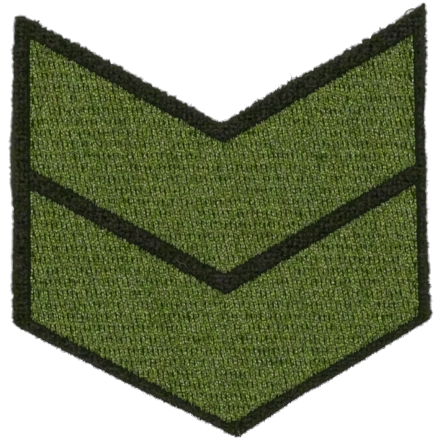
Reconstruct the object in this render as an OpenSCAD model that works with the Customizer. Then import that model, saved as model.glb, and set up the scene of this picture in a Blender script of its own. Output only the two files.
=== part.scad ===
// Length of service patch: two embroidered chevrons on a cut piece of heavy
// ground cloth. It lies flat with its face up (+Z), its point towards -Y and
// its sewn side on z = 0, and the origin is under the middle of its outline.

/* [Ground cloth] */
// Distance of the left cut edge from the drawing's middle line
left_cut_x = 36.45; // [35.5:0.05:40]
// Distance of the right cut edge from the drawing's middle line
right_cut_x = 36.1; // [35.5:0.05:40]
// Height of the crown of the bare bands above the sewn side
band_t = 1.15; // [1:0.05:1.6]
// Thickness of the cloth where the stitches press it flat
bed_t = 0.75; // [0.5:0.05:0.9]
// Height of the cut edge before the cloth rounds over
cut_t = 0.55; // [0.3:0.05:0.9]
// Radius of the worn lower left corner, seen from the front
worn_corner_r = 0.9; // [0.3:0.1:2]
// Radius of the lower right corner, of the point and of the notch
small_corner_r = 0.4; // [0.2:0.1:0.6]
// Height at which the upper left corner is cut off square
square_cut_y = 35.7; // [35.2:0.1:36.6]

/* [Embroidery] */
// Distance of the left end of the chevrons from the middle line
left_fill_x = 33.5; // [32:0.05:34.5]
// Distance of the right end of the chevrons from the middle line
right_fill_x = 34.45; // [32.5:0.05:34.8]
// Height of the stitched surface above the sewn side
fill_t = 1.5; // [1.3:0.05:2]
// Height of the stitches where they turn down at a chevron's edge
fill_edge_t = 1.15; // [0.95:0.05:1.25]
// Width over which a chevron's edge rounds down
fill_round_w = 0.9; // [0.4:0.1:2]
// Gap between the stitches and the cloth
piece_gap = 0.05; // [0.02:0.01:0.1]

/* [Mesh] */
// Cells along each arm of a chevron
arm_cells = 14; // [8:1:24]
// Cells across a chevron between its rounded edges
fill_cells = 6; // [4:2:10]

/* [Hidden] */

cloth_colour = [0.14, 0.15, 0.11];
thread_colour = [0.32, 0.38, 0.17];

// Heights of the bent lines are given at this distance left and right of the middle line
line_ref_x = 35;

// The six bent lines that cross the patch, from the top cut edge down
// Columns: height at the left, bend's x, bend's height, height at the right
cross_lines = [
    [36.0, 0.1, 17.05, 37.4],
    [33.0, 0.45, 13.6, 33.55],
    [9.8, 0.7, -9.55, 10.45],
    [6.65, 1.0, -12.8, 7.2],
    [-16.65, 1.6, -35.8, -16.55],
    [-19.0, 2.65, -37.9, -18.05]
];
LEFT_Y = 0;
BEND_X = 1;
BEND_Y = 2;
RIGHT_Y = 3;
TOP_CUT = 0;
UPPER_TOP = 1;
UPPER_FOOT = 2;
LOWER_TOP = 3;
LOWER_FOOT = 4;
BOTTOM_CUT = 5;

// The zones between the side lines, from the left cut edge to the right one
LEFT_BAND = 0;
LEFT_ARM = 1;
RIGHT_ARM = 2;
RIGHT_BAND = 3;

// How far each side line moves to the right for each mm up the patch
left_cut_lean = 0.002;
left_fill_lean = -0.005;
right_fill_lean = -0.0205;
right_cut_lean = -0.0156;

// How far the hand-cut edges stand out from straight lines
// Columns: share of the edge from the top or the left, left, right, top left,
// top right, bottom left, bottom right
edge_wander = [
    [0.00, -0.2, 0.2, 0.0, 0.0, -0.1, 0.2],
    [0.17, 0.1, 0.2, 0.0, 0.1, 0.0, 0.0],
    [0.33, 0.2, -0.2, 0.2, 0.3, 0.1, -0.2],
    [0.50, 0.4, 0.0, 0.2, 0.0, 0.2, 0.0],
    [0.67, 0.0, -0.1, 0.0, -0.1, 0.2, 0.1],
    [0.83, 0.0, 0.1, 0.0, 0.0, 0.1, 0.1],
    [1.00, 0.0, 0.3, 0.0, 0.1, 0.0, 0.0]
];
LEFT_EDGE = 1;
RIGHT_EDGE = 2;
TOP_LEFT_EDGE = 3;
TOP_RIGHT_EDGE = 4;
BOTTOM_LEFT_EDGE = 5;
BOTTOM_RIGHT_EDGE = 6;

// Section of a bare band beside a cut edge, from the cut edge in to the stitches
// Columns: share of the width, rise above the pressed bed, fall at the cut edge
cut_band = [
    [0, 1, 1],
    [0.06, 1, 0.45],
    [0.18, 1, 0.12],
    [0.45, 1, 0],
    [0.8, 0.9, 0],
    [0.94, 0.6, 0],
    [1, 0, 0]
];

// Section of the bare band between the chevrons, with the same columns
mid_band = [
    [0, 0, 0],
    [0.07, 0.6, 0],
    [0.22, 0.9, 0],
    [0.5, 1, 0],
    [0.78, 0.9, 0],
    [0.93, 0.6, 0],
    [1, 0, 0]
];

// Cells of the pressed cloth under a chevron, from its top to its foot
bed_cells = 3;

// Shares of an arm at which the cloth has closer columns beside the bend
bend_steps = [0.006, 0.012, 0.025];

// A chevron's rounded edge: shares of its width at which it has a row of points
round_steps = [0, 0.12, 0.4, 1];

function lerp(a, b, t) = a + (b - a) * t;
function reversed(list) = [for (i = [len(list) - 1:-1:0]) list[i]];
function all_but_first(list) = [for (i = [1:len(list) - 1]) list[i]];
function wander(edge, share) = lookup(share, [for (w = edge_wander) [w[0], w[edge]]]);

// Side lines, at the height of a bent line's left or right end
function left_cut(line) = -left_cut_x + left_cut_lean * line[LEFT_Y];
function left_fill(line) = -left_fill_x + left_fill_lean * line[LEFT_Y];
function right_fill(line) = right_fill_x + right_fill_lean * line[RIGHT_Y];
function right_cut(line) = right_cut_x + right_cut_lean * line[RIGHT_Y];

// Height of a bent line at x
function line_y(line, x) =
    x < line[BEND_X]
        ? lerp(line[BEND_Y], line[LEFT_Y], (line[BEND_X] - x) / (line[BEND_X] + line_ref_x))
        : lerp(line[BEND_Y], line[RIGHT_Y], (x - line[BEND_X]) / (line_ref_x - line[BEND_X]));

// Height that an arc of radius r adds at distance d from a corner
function corner_arc(d, r) = d >= r ? 0 : r - sqrt(r * r - (r - max(d, 0)) ^ 2);

// How far a cut edge that follows a bent line stands out at x
function bent_wander(line, left_edge, right_edge, x) =
    x < line[BEND_X]
        ? wander(left_edge, (x + left_cut_x) / (line[BEND_X] + left_cut_x))
        : wander(right_edge, (x - line[BEND_X]) / (right_cut_x - line[BEND_X]));

// The top cut edge: bent line, wander, notch and the corner that is cut off square
function top_edge_y(x) =
    let (line = cross_lines[TOP_CUT],
         y = line_y(line, x) + bent_wander(line, TOP_LEFT_EDGE, TOP_RIGHT_EDGE, x)
             + corner_arc(abs(x - line[BEND_X]), small_corner_r))
    x < 0 ? min(y, square_cut_y) : y;

// The bottom cut edge: bent line, wander, worn left corner and blunt tip and right corner
function bottom_edge_y(x) =
    let (line = cross_lines[BOTTOM_CUT])
    line_y(line, x) - bent_wander(line, BOTTOM_LEFT_EDGE, BOTTOM_RIGHT_EDGE, x)
        + corner_arc(x - left_cut(line), worn_corner_r)
        + corner_arc(right_cut(line) - x, small_corner_r)
        + corner_arc(abs(x - line[BEND_X]), small_corner_r);

// Rows and columns of the cloth, with the table columns below. A row's zone is the bent
// line above it, and a column's is one of the zones between the side lines.
ZONE = 0;
SHARE = 1;
RISE = 2;
FALL = 3;
function band_steps(zone, band) = [for (s = band) [zone, s[0], s[1], s[2]]];
function inner_steps(zone, cells) = [for (i = [1:cells - 1]) [zone, i / cells, 0, 0]];

cloth_rows = concat(
    band_steps(TOP_CUT, cut_band), inner_steps(UPPER_TOP, bed_cells),
    band_steps(UPPER_FOOT, mid_band), inner_steps(LOWER_TOP, bed_cells),
    [for (s = reversed(cut_band)) [LOWER_FOOT, 1 - s[0], s[1], s[2]]]);
cloth_columns = concat(
    band_steps(LEFT_BAND, cut_band), inner_steps(LEFT_ARM, arm_cells),
    [for (s = reversed(bend_steps)) [LEFT_ARM, 1 - s, 0, 0]], [[RIGHT_ARM, 0, 0, 0]],
    [for (s = bend_steps) [RIGHT_ARM, s, 0, 0]], inner_steps(RIGHT_ARM, arm_cells),
    [for (s = reversed(cut_band)) [RIGHT_BAND, 1 - s[0], s[1], s[2]]]);

// The bent line at a share of the way from one bent line to another
function line_between(upper, lower, share) =
    [for (i = [LEFT_Y:RIGHT_Y]) lerp(upper[i], lower[i], share)];

function side_lines(line) =
    [left_cut(line), left_fill(line), line[BEND_X], right_fill(line), right_cut(line)];

function cloth_point(row, column) =
    let (upper = cross_lines[row[ZONE]],
         lower = cross_lines[row[ZONE] + 1],
         zone = column[ZONE],
         line = line_between(upper, lower, row[SHARE]),
         sides = side_lines(line),
         side_length = cross_lines[TOP_CUT][LEFT_Y] - cross_lines[BOTTOM_CUT][LEFT_Y],
         down = (cross_lines[TOP_CUT][LEFT_Y] - line[LEFT_Y]) / side_length,
         left_stray = zone == LEFT_BAND ? wander(LEFT_EDGE, down) * (1 - column[SHARE]) : 0,
         right_stray = zone == RIGHT_BAND ? wander(RIGHT_EDGE, down) * column[SHARE] : 0,
         x = lerp(sides[zone], sides[zone + 1], column[SHARE]) - left_stray + right_stray,
         above = row[ZONE] == TOP_CUT ? top_edge_y(x) : line_y(upper, x),
         below = row[ZONE] == LOWER_FOOT ? bottom_edge_y(x) : line_y(lower, x),
         rise = max(row[RISE], column[RISE]),
         fall = max(row[FALL], column[FALL]))
    [x, lerp(above, below, row[SHARE]), bed_t + (band_t - bed_t) * rise - (band_t - cut_t) * fall];

cloth_grid = [for (row = cloth_rows) [for (column = cloth_columns) cloth_point(row, column)]];

// The drawing is moved so that the middle of the outline is over the origin
cloth_xs = [for (row = cloth_grid) for (p = row) p[0]];
cloth_ys = [for (row = cloth_grid) for (p = row) p[1]];
outline_middle = [(min(cloth_xs) + max(cloth_xs)) / 2, (min(cloth_ys) + max(cloth_ys)) / 2, 0];

// Distances into a chevron from its edge: the rounded edge, then even cells to a length
function fill_distances(length, cells) =
    concat([for (s = round_steps) piece_gap + s * fill_round_w],
           [for (i = [1:cells]) lerp(piece_gap + fill_round_w, length, i / cells)]);

// Height of a chevron's underside, just above the pressed cloth
fill_foot_z = bed_t + piece_gap;

// Quarter ellipse from 0 at the edge of a chevron to 1 where its rounding ends
function fill_rise(d) = d >= fill_round_w ? 1 : sqrt(1 - (1 - max(d, 0) / fill_round_w) ^ 2);

// One point of a chevron: x, the distance from the chevron's nearer end, and the share
// of the way down from its top line to its foot line
function fill_point(top, foot, x, end_distance, down) =
    let (top_y = line_y(top, x),
         foot_y = line_y(foot, x),
         y = lerp(top_y, foot_y, down),
         inside = min(top_y - y, y - foot_y, end_distance) - piece_gap)
    [x, y, fill_edge_t + (fill_t - fill_edge_t) * fill_rise(inside)];

function fill_row(top, foot, down) =
    let (line = line_between(top, foot, down),
         left_distances = fill_distances(line[BEND_X] - left_fill(line), arm_cells),
         right_distances = fill_distances(right_fill(line) - line[BEND_X], arm_cells))
    concat([for (d = left_distances) fill_point(top, foot, left_fill(line) + d, d, down)],
           [for (d = all_but_first(reversed(right_distances)))
               fill_point(top, foot, right_fill(line) - d, d, down)]);

function fill_grid(top, foot) =
    let (width = top[BEND_Y] - foot[BEND_Y],
         half = [for (d = fill_distances(width / 2, fill_cells / 2)) d / width])
    [for (down = concat(half, [for (share = all_but_first(reversed(half))) 1 - share]))
        fill_row(top, foot, down)];

// A closed solid under a grid of points: the grid, its shadow at height foot_z and
// walls round the rim. Rows run down the patch and columns run to the right.
module grid_solid(grid, foot_z) {
    rows = len(grid);
    columns = len(grid[0]);
    count = rows * columns;
    function at(i, j) = i * columns + j;
    function under(i, j) = count + at(i, j);
    top_points = [for (row = grid) for (p = row) p - outline_middle];
    foot_points = [for (p = top_points) [p[0], p[1], foot_z]];
    rim = concat(
        [for (j = [0:columns - 1]) at(0, j)],
        [for (i = [1:rows - 1]) at(i, columns - 1)],
        [for (j = [columns - 2:-1:0]) at(rows - 1, j)],
        [for (i = [rows - 2:-1:1]) at(i, 0)]);
    cells = [for (i = [0:rows - 2]) for (j = [0:columns - 2]) [i, j]];
    polyhedron(
        points = concat(top_points, foot_points),
        faces = concat(
            [for (c = cells) [at(c[0], c[1]), at(c[0], c[1] + 1), at(c[0] + 1, c[1] + 1)]],
            [for (c = cells) [at(c[0], c[1]), at(c[0] + 1, c[1] + 1), at(c[0] + 1, c[1])]],
            [for (c = cells) [under(c[0], c[1]), under(c[0] + 1, c[1] + 1), under(c[0], c[1] + 1)]],
            [for (c = cells) [under(c[0], c[1]), under(c[0] + 1, c[1]), under(c[0] + 1, c[1] + 1)]],
            [for (k = [0:len(rim) - 1]) let (a = rim[k], b = rim[(k + 1) % len(rim)])
                [a, a + count, b + count, b]]),
        convexity = 6);
}

module ground_cloth() {
    color(cloth_colour) grid_solid(cloth_grid, 0);
}

module upper_chevron() {
    color(thread_colour) grid_solid(fill_grid(cross_lines[UPPER_TOP], cross_lines[UPPER_FOOT]), fill_foot_z);
}

module lower_chevron() {
    color(thread_colour) grid_solid(fill_grid(cross_lines[LOWER_TOP], cross_lines[LOWER_FOOT]), fill_foot_z);
}

ground_cloth();
upper_chevron();
lower_chevron();
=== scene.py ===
import math

import bpy
import numpy as np
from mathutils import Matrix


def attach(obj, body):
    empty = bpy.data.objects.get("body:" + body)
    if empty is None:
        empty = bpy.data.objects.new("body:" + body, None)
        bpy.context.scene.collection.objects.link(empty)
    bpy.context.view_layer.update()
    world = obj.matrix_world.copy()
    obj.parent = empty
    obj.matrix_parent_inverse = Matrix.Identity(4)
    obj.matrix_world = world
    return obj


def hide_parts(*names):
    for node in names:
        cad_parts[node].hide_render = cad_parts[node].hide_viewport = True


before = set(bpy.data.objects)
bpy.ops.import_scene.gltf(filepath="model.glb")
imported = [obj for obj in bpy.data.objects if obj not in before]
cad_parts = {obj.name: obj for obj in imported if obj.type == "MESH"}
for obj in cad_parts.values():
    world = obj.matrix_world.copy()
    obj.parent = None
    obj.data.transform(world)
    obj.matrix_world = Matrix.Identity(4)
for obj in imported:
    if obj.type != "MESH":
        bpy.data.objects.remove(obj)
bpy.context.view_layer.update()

mm = 0.001


# The drawing that the patch is cut and stitched to, in mm. A bent line is its height at
# refX on the left, the bend's x, the bend's height and its height at refX on the right.
drawing = {
    "refX": 35.0,
    "topCut": (35.94, 0.1, 16.95, 37.22),
    "upperTop": (33.1, 0.55, 13.61, 33.5),
    "upperFoot": (10.01, 0.9, -9.45, 10.35),
    "lowerTop": (6.75, 1.1, -12.77, 7.16),
    "lowerFoot": (-16.4, 1.74, -35.64, -16.54),
    "bottomCut": (-18.69, 2.65, -37.72, -18.03),
    "leftCut": (-36.16, 0.002),  # x on the middle line, and lean to the right for each mm up
    "leftFill": (-33.46, -0.005),
    "rightFill": (34.7, -0.020),
    "rightCut": (36.07, -0.0156),
    "squareCutY": 35.66,
    "notchRound": 1.5,
    "bendRound": 0.75,
    "wornCornerR": 0.9,
    "rightCornerR": 0.7,
}
crossLines = ["topCut", "upperTop", "upperFoot", "lowerTop", "lowerFoot", "bottomCut"]
chevrons = {"upper": ("upperTop", "upperFoot"), "lower": ("lowerTop", "lowerFoot")}

# How far the hand-cut edges stand out from straight lines, in mm, from the top or the left
wanderShare = (0.0, 0.17, 0.33, 0.5, 0.67, 0.83, 1.0)
edgeWander = {
    "left": (-0.46, 0.05, 0.14, 0.48, -0.06, 0.13, -0.12),
    "right": (0.3, 0.25, -0.21, -0.1, -0.1, 0.14, 0.52),
    "topLeft": (0.08, 0.06, 0.26, 0.25, 0.1, 0.12, -0.12),
    "topRight": (-0.2, 0.04, 0.22, -0.06, -0.18, 0.02, 0.36),
    "bottomLeft": (-0.06, 0.06, 0.06, 0.16, 0.07, -0.16, -0.05),
    "bottomRight": (0.22, 0.07, -0.3, -0.02, 0.06, 0.05, 0.02),
}


def mix(a, b, t):
    return a + (b - a) * t


def smoothStep(x):  # 0 below 0, 1 above 1, and 3x^2 - 2x^3 between
    x = np.clip(x, 0, 1)
    return x * x * (3 - 2 * x)


def bentY(name, x):
    # Height of a bent line at x: slope times distance d from its bend, or times
    # (d^2 + w^2) / 2w nearer than w, which rounds the bend
    left, bendX, bendY, right = drawing[name]
    ref = drawing["refX"]
    slope = np.where(x < bendX, (left - bendY) / (bendX + ref), (right - bendY) / (ref - bendX))
    w = drawing["notchRound" if name == "topCut" else "bendRound"]
    d = abs(x - bendX)
    return bendY + slope * np.where(d < w, (d * d + w * w) / (2 * w), d)


def sideX(name, y):  # x of a leaning side line at height y
    x, lean = drawing[name]
    return x + lean * y


def wander(edge, share):  # smooth curve through an edge's wander values
    at = np.clip(share, 0, 1) * (len(wanderShare) - 1)
    i = np.clip(at.astype(int), 0, len(wanderShare) - 2)
    values = np.array(edgeWander[edge])
    return mix(values[i], values[i + 1], smoothStep(at - i))


def hashNoise(n, seed):  # n repeatable random numbers from -1 to 1
    return np.random.default_rng(seed).uniform(-1, 1, n)


def hashAt(i, j, seed):  # one repeatable random number from -1 to 1 for each pair of whole numbers
    table = hashNoise(256 * 256, seed).reshape(256, 256)
    return table[np.asarray(i).astype(int) % 256, np.asarray(j).astype(int) % 256]


def smoothNoise(x, seed, period):  # random heights from -1 to 1 at every period, joined smoothly
    table = hashNoise(4096, seed)
    at = x / period + 2048
    i = np.floor(at).astype(int)
    return mix(table[i % 4096], table[(i + 1) % 4096], smoothStep(at - i))


def noise2(x, y, seed, period):  # the same on a square lattice, joined smoothly both ways
    u, v = x / period + 512, y / period + 512
    i, j = np.floor(u).astype(int), np.floor(v).astype(int)
    s, t = smoothStep(u - i), smoothStep(v - j)
    return mix(mix(hashAt(i, j, seed), hashAt(i + 1, j, seed), s),
               mix(hashAt(i, j + 1, seed), hashAt(i + 1, j + 1, seed), s), t)


def cornerArc(d, r):  # height that an arc of radius r adds at distance d from a corner
    inside = np.clip(r - d, 0, r)
    return r - np.sqrt(r * r - inside * inside)


def cornerEase(d, r):  # a blunter one: (r - d)^2 / 2r
    return np.clip(r - d, 0, r) ** 2 / (2 * r)


def bentWander(edge, x):  # wander of the two halves of the top or the bottom edge
    bendX = drawing[edge + "Cut"][1]
    left, right = drawing["leftCut"][0], drawing["rightCut"][0]
    return np.where(x < bendX, wander(edge + "Left", (x - left) / (bendX - left)),
                    wander(edge + "Right", (x - bendX) / (right - bendX)))


def topEdgeY(x):  # the top line plus its wander, level where the square corner is
    y = bentY("topCut", x) + bentWander("top", x)
    return np.where(x < 0, np.minimum(y, drawing["squareCutY"]), y)


def bottomEdgeY(x):
    # The bottom line minus its wander, raised at both ends by the worn and the eased corner
    left, right = drawing["bottomCut"][::3]
    rightEnd = sideX("rightCut", right) + edgeWander["right"][-1]
    return (bentY("bottomCut", x) - bentWander("bottom", x)
            + cornerArc(x - sideX("leftCut", left), drawing["wornCornerR"])
            + cornerEase(rightEnd - x, drawing["rightCornerR"]))


def lineY(name, x):  # height of a bent line, with the two cut ones as they were really cut
    return {"topCut": topEdgeY, "bottomCut": bottomEdgeY}.get(name, lambda x: bentY(name, x))(x)


def meshObject(name, points, faces, uv, material, smooth=True):
    # points in mm on the drawing, faces as rows of point numbers, uv for each corner of each face
    data = bpy.data.meshes.new(name)
    sizes = np.array([len(face) for face in faces])
    data.vertices.add(len(points))
    data.vertices.foreach_set("co", ((points - drawingMiddle) * mm).astype(np.float32).ravel())
    data.loops.add(int(sizes.sum()))
    data.loops.foreach_set("vertex_index", np.concatenate(faces).astype(np.int32))
    data.polygons.add(len(sizes))
    data.polygons.foreach_set("loop_start", (np.cumsum(sizes) - sizes).astype(np.int32))
    data.update(calc_edges=True)
    data.uv_layers.new(name="OFBake").data.foreach_set("uv", uv.astype(np.float32).ravel())
    data.polygons.foreach_set("use_smooth", np.full(len(sizes), smooth))
    data.validate()
    data.materials.append(material)
    piece = bpy.data.objects.new(name, data)
    bpy.context.scene.collection.objects.link(piece)
    return piece


def pointAttribute(piece, name, values):  # one number for each point, for the materials
    layer = piece.data.attributes.new(name, "FLOAT", "POINT")
    layer.data.foreach_set("value", values.astype(np.float32).ravel())


def mapQuads(*corners):  # map of quads from the u and v of their four corners
    return np.stack(np.broadcast_arrays(*corners), -1).reshape(-1, 2)


def ringTubes(name, rings, counts, material):
    # Joins closed rings (rings x sides x 3, left, over the top, right, below) into one tube for
    # each count, with flat ends. The map lays each tube out as a strip: along in u, around in v.
    total, sides = rings.shape[:2]
    starts = np.cumsum(counts) - counts
    ends = starts + counts - 1
    owner = np.repeat(np.arange(len(counts)), counts)
    u = 0.01 + 0.98 * (np.arange(total) - starts[owner]) / (counts[owner] - 1)
    here = np.setdiff1d(np.arange(total), ends)
    j = np.arange(sides)
    a, b = here[:, None] * sides + j, here[:, None] * sides + (j + 1) % sides
    walls = np.stack([a, a + sides, b + sides, b], 2)
    i = np.arange(sides // 2 - 1)
    fan = np.stack([i, i + 1, sides - 2 - i, sides - 1 - i], 1)
    capsA = starts[:, None, None] * sides + fan
    capsB = ends[:, None, None] * sides + fan[:, ::-1]
    u0, u1 = u[here, None], u[here + 1, None]
    v0 = (owner[here, None] + j / sides) / len(counts)
    v1 = v0 + 1 / sides / len(counts)
    low = (np.arange(len(counts))[:, None] + i / sides) / len(counts)
    high = low + 1 / sides / len(counts)
    capUv = mapQuads(0, low, 0, high, 0.009, high, 0.009, low)
    uv = np.concatenate([mapQuads(u0, v0, u1, v0, u1, v1, u0, v1), capUv, capUv * [-1, 1] + [1, 0]])
    faces = np.concatenate([part.reshape(-1, 4) for part in (walls, capsA, capsB)])
    return meshObject(name, rings.reshape(-1, 3), faces, uv, material)


def roundRings(path, tangent, radius, sides, up=None):
    # Rings about a path: place + radius * (cos(angle) * sideways + sin(angle) * up), from the left
    # over the top and the right to below; up is square to the path unless it is given
    sideways = np.stack([-tangent[..., 1], tangent[..., 0], np.zeros(tangent.shape[:-1])], -1)
    sideways /= np.linalg.norm(sideways, axis=-1, keepdims=True)
    if up is None:
        up = np.cross(tangent, sideways)
        up /= np.linalg.norm(up, axis=-1, keepdims=True)
    angle = (np.pi - 2 * np.pi * np.arange(sides) / sides)[:, None]
    ring = np.cos(angle) * sideways[..., None, :] + np.sin(angle) * up[..., None, :]
    return path[..., None, :] + radius[..., None, None] * ring


def gridFaces(rows, cols):  # point numbers, quads and rim of a grid that runs down and to the right
    index = np.arange(rows * cols).reshape(rows, cols)
    quads = np.stack([index[:-1, :-1], index[1:, :-1], index[1:, 1:], index[:-1, 1:]], 2)
    rim = np.concatenate([index[:-1, 0], index[-1, :-1], index[:0:-1, -1], index[0, :0:-1]])
    return index, quads, rim


def wallBetween(upper, lower, high, low):  # quads between two rings, and their strip of the map
    u0, u1 = np.arange(len(upper)) / len(upper), np.arange(1, len(upper) + 1) / len(upper)
    quads = np.stack([upper, lower, np.roll(lower, -1), np.roll(upper, -1)], 1)
    return quads, mapQuads(u0, high, u0, low, u1, low, u1, high)


def flatMap(points):  # map of points as seen from above, on the left half of the sheet
    xy = points[:, :2]
    return (xy - xy.min(0)) / np.ptp(xy, axis=0) * [0.49, 0.95]


# Ground cloth: its top is a grid of columns and rows that follow the drawing's lines

groundCloth = {
    "bandTop": 1.15,      # crown of the bare bands above the table, mm
    "bedTop": 0.75,       # pressed cloth under the stitches
    "cutTop": 0.55,       # where the cut wall starts to round over
    "cell": 0.16,         # grid spacing
    "colWidths": (2.95, 34.0, 33.8, 1.9),      # the grid's zones: edge, stitches, stitches, edge
    "rowWidths": (3.3, 23.2, 3.2, 23.1, 2.3),  # band, chevron, band, chevron, band
    "shoulder": 0.55,     # width over which a band rises beside the stitches
    "cutRound": 0.5,      # width over which it falls to the cut edge
    "weaveX": 0.92,       # periods of the ribs that the weave leaves under the nap
    "weaveY": 0.90,
    "weaveDepth": 0.035,
    "weaveShade": 0.32,    # painted shade and light of the weave: how much paler the ribs are, and darker the grooves between them
    "nap": 0.065,         # depth of the soft unevenness
    "stepLength": 1.3,    # a slanted cut leaves steps between the yarns, about this long
    "topStep": 0.46,      # height of those steps
    "bottomStep": 0.17,
    "sideStep": 0.14,
    "sideWander": 0.09,   # slower unevenness of the upright edges
    "fray": 0.07,         # finer unevenness of the cut edge
    "bottomFray": 0.03,
    "wall": ((0.62, 1.0), (0.25, 0.7), (0.0, -0.4)),  # rings of the cut wall: height, bulge as shares
    "bulge": 0.05,
    "lip": 0.05,          # hollow of the underside, where the bobbin threads lie
    "lipInset": 0.2,
    "rubbedWidth": 0.30,  # how far the paler rub reaches in from the cut edge
    "shadeWidth": 0.34,   # how far the darker, greener line reaches out from the stitches
    "seed": 11,
}
clothMarks = (  # worn and tinted places: x, y, half width, half height, warmer, paler
    (-35.3, 3.6, 0.5, 1.4, -1.0, 0.0),
    (-34.0, 3.4, 0.6, 1.2, 1.0, 0.1),
    (-35.6, 12.0, 0.7, 9.0, 0.6, 0.1),
    (-35.6, -8.0, 0.8, 8.0, 0.7, 0.0),
    (-35.9, 30.5, 0.8, 3.0, -0.4, -0.2),
    (35.8, -6.0, 0.6, 7.0, 0.3, 0.2),
    (-12.0, -2.5, 10.0, 7.0, 0.1, -0.20),
    (12.0, -3.0, 10.0, 7.0, 0.1, -0.25),
    (28.0, 5.0, 6.0, 6.0, 0.1, -0.15),
    (-33.9, 7.7, 1.0, 0.12, 0.0, -1.3),
    (-36.1, 10.0, 0.15, 0.15, 0.0, 1.5),
    (-35.4, 8.0, 0.15, 0.15, 0.0, 1.5),
    (-35.0, 0.0, 0.15, 0.18, 0.0, 1.3),
    (-34.9, -2.3, 0.15, 0.15, 0.0, 1.5),
    (-28.0, 4.4, 0.18, 0.15, 0.0, 1.6),
    (-25.8, 3.7, 0.16, 0.16, 0.0, 1.4),
    (-4.6, -8.2, 0.16, 0.16, 0.0, 1.5),
    (3.15, -37.25, 0.22, 0.3, 0.0, 2.5),
)


largeSteps = {  # where a step ends (x, or height on the upright edges), length back from there, height
    "top": ((-31.9, 2.4, 1.0), (-17.2, 1.6, 0.45), (6.4, 1.3, 0.4), (22.4, 1.6, 0.5), (28.1, -1.6, 0.5)),
    "left": ((36.0, 1.3, 0.6), (25.0, 3.0, -0.35), (14.0, 2.0, 0.25), (-12.5, 2.2, 0.3)),
    "right": ((30.8, -1.3, 0.8), (29.55, -0.9, 0.75), (-5.2, 1.6, 0.3), (-12.0, 2.0, 0.3)),
}


def stations(cuts, cell):  # zone number and share of the zone for each grid line
    zone, share = [], []
    for i, width in enumerate(cuts):
        cells = max(2, round(width / cell))
        zone += [i] * cells
        share += list(np.arange(cells) / cells)
    return np.array(zone + [len(cuts) - 1]), np.array(share + [1.0])


def cutSteps(opts, at, seed, height, fray):
    # Steps of a cut across the weave: each climbs over its length and drops at once; -0.5 to 0.5
    # times height, with a finer unevenness added
    phase = at / opts["stepLength"] + 0.45 * smoothNoise(at, seed, 2.1)
    step = np.floor(phase)
    t = phase - step
    saw = np.where(t < 0.8, t / 0.8, (1 - t) / 0.2) - 0.5
    size = 0.75 + 0.55 * hashAt(step, seed, 3)
    fine = smoothNoise(at, seed + 20, 0.62) + 0.7 * smoothNoise(at, seed + 21, 0.33)
    return height * saw * size + fray * fine


def cutTeeth(edge, at):
    # Larger single steps: each sinks, climbs to half its height and drops at its end
    total = np.zeros(np.shape(at))
    for end, length, height in largeSteps[edge]:
        t = (end - at) / length
        climb = (0.5 - t) * smoothStep((1 - t) / 0.35)
        total += height * np.where(t < 0, 0.5 * np.clip(1 + t / 0.1, 0, 1), climb)
    return total


def clothGrid(opts, steps=1.0):
    # x is mixed between the side lines of the column's zone and y between the bent lines
    # of the row's zone; both are taken on the same bent line, so the grid has no folds.
    cell, seed = opts["cell"], opts["seed"]
    colZone, colShare = stations(opts["colWidths"], cell)
    rowZone, rowShare = stations(opts["rowWidths"], cell)
    lines = np.array([drawing[name] for name in crossLines])
    line = mix(lines[rowZone], lines[rowZone + 1], rowShare[:, None])
    sides = np.stack([sideX("leftCut", line[:, 0]), sideX("leftFill", line[:, 0]), line[:, 1],
                      sideX("rightFill", line[:, 3]), sideX("rightCut", line[:, 3])], 1)
    x = mix(sides[:, colZone], sides[:, colZone + 1], colShare)
    along = lines[0, 0] - line[:, 0]
    down = along / along[-1]
    for edge, end, sign, number, out in (
            ("left", 0, -1, seed, np.where(colZone == 0, 1 - colShare, 0)),
            ("right", 3, 1, seed + 50, np.where(colZone == 3, colShare, 0))):
        cuts = (cutSteps(opts, along, number, opts["sideStep"], opts["fray"])
                + opts["sideWander"] * smoothNoise(along, number + 5, 1.5) + cutTeeth(edge, line[:, end]))
        stray = wander(edge, down)
        if edge == "right":
            stray = stray - cornerEase(line[:, 3] - lines[-1, 3], drawing["rightCornerR"])
        x = x + sign * (stray[:, None] * out + steps * out ** 3 * cuts[:, None])
    above, below = (np.stack([lineY(crossLines[zone + after], x[i]) for i, zone in enumerate(rowZone)])
                    for after in (0, 1))
    outTop = np.where(rowZone == 0, 1 - rowShare, 0)[:, None]
    outBottom = np.where(rowZone == 4, rowShare, 0)[:, None]
    fromTopBend, fromBottomBend = (abs(x - drawing[cut][1]) for cut in ("topCut", "bottomCut"))
    squared = smoothStep((x - sides[:, :1] - 1.4) / 1.2)  # no steps on the square corner
    topCuts = squared * cutSteps(opts, 60 - fromTopBend + 17 * (x > 0), seed + 100,
                                 opts["topStep"], opts["fray"]) + cutTeeth("top", x)
    bottomCuts = cutSteps(opts, fromBottomBend + 23 * (x > 0), seed + 150,
                          opts["bottomStep"], opts["bottomFray"])
    y = mix(above, below, rowShare[:, None]) + steps * outTop ** 3 * topCuts
    return x, y - steps * outBottom ** 3 * bottomCuts, colZone, rowZone


def clothDistances(x, y):
    # How far a point lies outside the stitches and inside the cut edge, in mm
    slant = 0.875  # cosine of the arms' slope: turns heights into distances
    inChevrons = np.maximum(*(np.minimum(bentY(top, x) - y, y - bentY(foot, x)) * slant
                              for top, foot in chevrons.values()))
    inSides = np.minimum(x - sideX("leftFill", y), sideX("rightFill", y) - x)
    fromCut = np.minimum.reduce([
        (topEdgeY(x) - y) * slant, (y - bottomEdgeY(x)) * slant,
        x - sideX("leftCut", y) + 0.1, sideX("rightCut", y) + 0.1 - x])
    return -np.minimum(inChevrons, inSides), fromCut


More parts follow.
